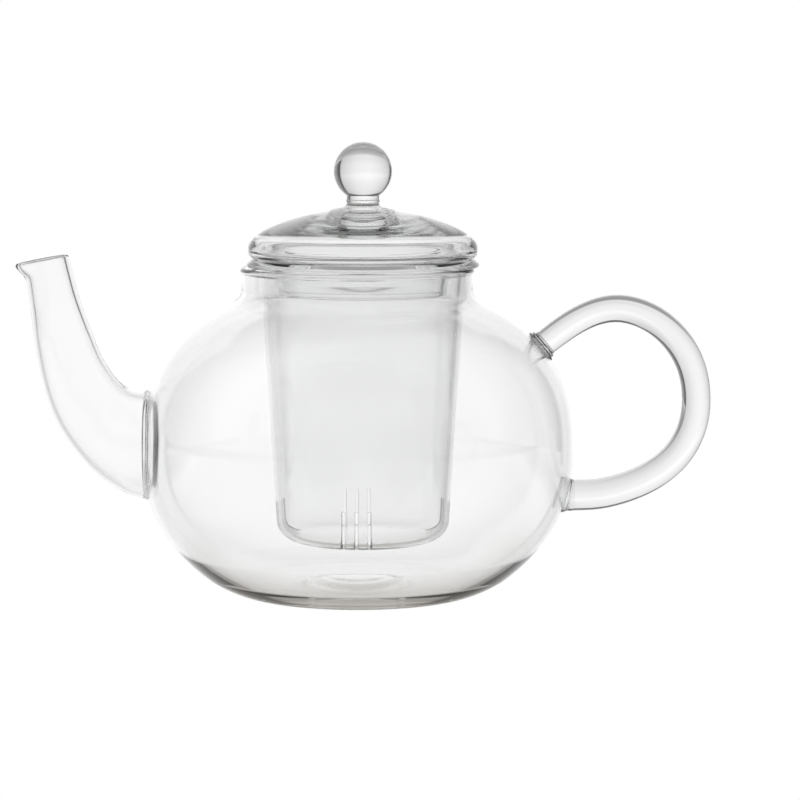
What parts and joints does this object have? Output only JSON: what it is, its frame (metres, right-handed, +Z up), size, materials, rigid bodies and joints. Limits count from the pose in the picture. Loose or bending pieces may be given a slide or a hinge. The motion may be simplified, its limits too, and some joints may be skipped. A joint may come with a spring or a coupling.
{
  "type": "teapot",
  "caption": "Round clear glass teapot with a curved spout, a loop handle, a lift-out slotted glass infuser and a domed lid with a ball knob.",
  "frame": {"origin": "middle of the footprint from spout tip to handle, on the plane the foot stands on; the pot's own vertical axis is 2.4 mm towards the spout", "axes": "+Z up, -X towards the spout, +X towards the handle, Y across the pot"},
  "size_m": [0.2414, 0.15, 0.1579],
  "materials": {
    "clear_glass": "clear blown borosilicate glass, fire polished, very faint drawn ripples",
    "thick_glass": "clear solid borosilicate glass, fire polished, faint grey green where it is thick"
  },
  "bodies": {
    "pot": {"bowl": "clear_glass", "spout": "clear_glass", "spout_weld": "thick_glass", "handle": "thick_glass", "handle_upper_weld": "thick_glass", "handle_lower_weld": "thick_glass"},
    "infuser": {"infuser": "clear_glass"},
    "lid": {"lid_dome": "clear_glass", "lid_collar": "clear_glass", "lid_knob": "thick_glass"}
  },
  "joints": [
    {"name": "infuser_lift", "type": "slide", "parent": "pot", "child": "infuser", "axis": [0, 0, 1], "range_m": [0, 0.12]},
    {"name": "lid_lift", "type": "slide", "parent": "infuser", "child": "lid", "axis": [0, 0, 1], "range_m": [0, 0.06]}
  ]
}
